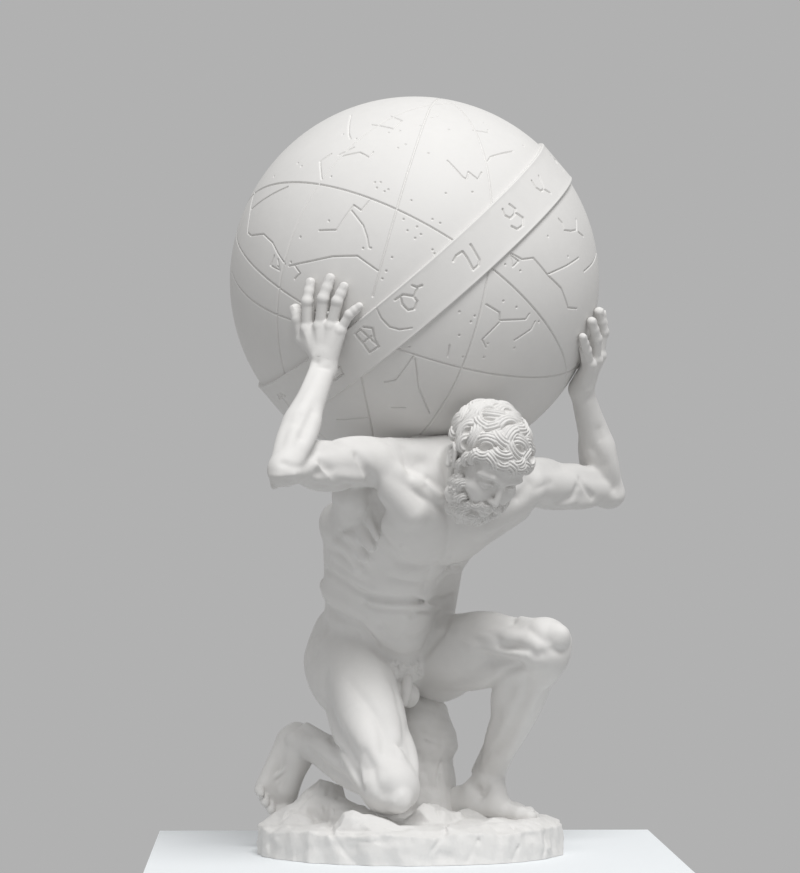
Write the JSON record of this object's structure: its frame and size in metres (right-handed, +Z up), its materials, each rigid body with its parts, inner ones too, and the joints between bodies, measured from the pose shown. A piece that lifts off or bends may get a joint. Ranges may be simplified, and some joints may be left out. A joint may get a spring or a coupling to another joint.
{
  "type": "atlas statue",
  "caption": "Kneeling nude bearded man on a round chipped rock base, bearing an engraved sky globe with a raised zodiac belt on his nape and hands.",
  "frame": {"origin": "centre of the round rock base on its underside", "axes": "+Z up; the figure faces -Y, and its left is +X"},
  "size_m": [0.3883, 0.4457, 0.7338],
  "materials": {
    "white_bisque": "matte unglazed white cast stone",
    "white_bisque_globe": "matte unglazed white cast stone"
  },
  "bodies": {
    "root": {"atlas_and_rock": "white_bisque", "celestial_globe": "white_bisque_globe"}
  },
  "joints": []
}
